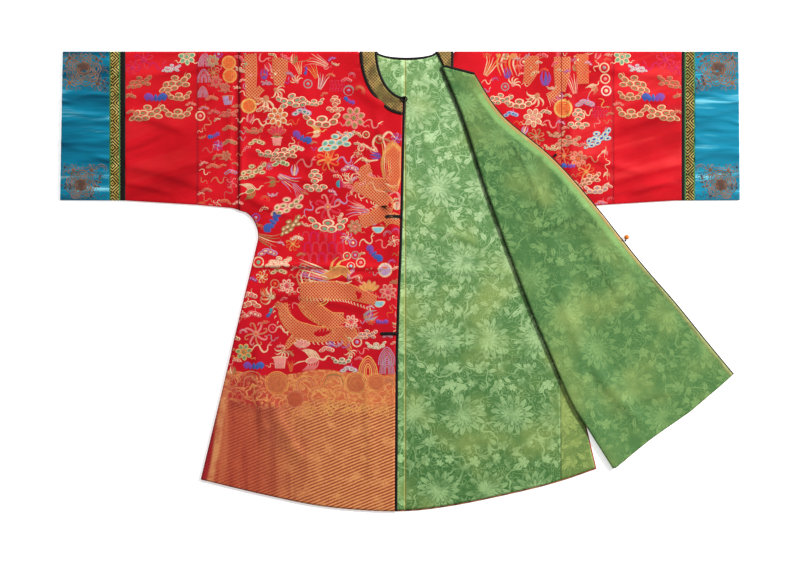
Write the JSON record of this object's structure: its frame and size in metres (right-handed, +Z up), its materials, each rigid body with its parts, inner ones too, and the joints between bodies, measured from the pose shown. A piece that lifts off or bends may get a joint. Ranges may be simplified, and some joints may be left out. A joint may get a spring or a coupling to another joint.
{
  "type": "dragon robe",
  "caption": "Front-opening silk dragon robe with wide cuffed sleeves, laid flat on its back with one front folded open to show its lining.",
  "frame": {"origin": "centre of the robe's bounding box on the surface that it lies on", "axes": "+X towards the wearer's left sleeve, +Y from the hem towards the shoulders, +Z up from the surface"},
  "size_m": [1.562, 1.0574, 0.0116],
  "materials": {
    "brocade": "red silk brocade with woven dragons, clouds and a striped wave hem in gold and coloured silks",
    "lining": "light green silk damask with tonal chrysanthemums",
    "gore": "yellow-green silk damask",
    "turned_lining": "darker green silk damask with tonal chrysanthemums",
    "satin": "turquoise satin with brown-gold couched flowers",
    "fret_ribbon": "gold and black key-fret ribbon with green edges",
    "collar_brocade": "gold, olive and black fret brocade",
    "black_silk": "black silk binding and cord",
    "gilt_button": "orange-gold ball button"
  },
  "bodies": {
    "root": {"body_right": "brocade", "body_left": "brocade", "lining_back_right": "lining", "lining_back_left": "lining", "lining_gore": "gore", "lining_front_left": "turned_lining", "sleeve_right_upper": "brocade", "sleeve_right_lower": "brocade", "sleeve_right_binding": "black_silk", "sleeve_right_ribbon": "fret_ribbon", "cuff_right": "satin", "sleeve_left_upper": "brocade", "sleeve_left_lower": "brocade", "sleeve_left_binding": "black_silk", "sleeve_left_ribbon": "fret_ribbon", "cuff_left": "satin", "neck_piping": "black_silk", "collar": "collar_brocade", "collar_edging": "black_silk", "neck_piping_left": "black_silk", "front_binding_right": "black_silk", "front_binding_left": "black_silk", "loop_chest": "black_silk", "loop_waist": "black_silk", "loop_neck": "black_silk", "knot_chest": "black_silk", "button_stem": "black_silk", "button_ball": "gilt_button"}
  },
  "joints": []
}
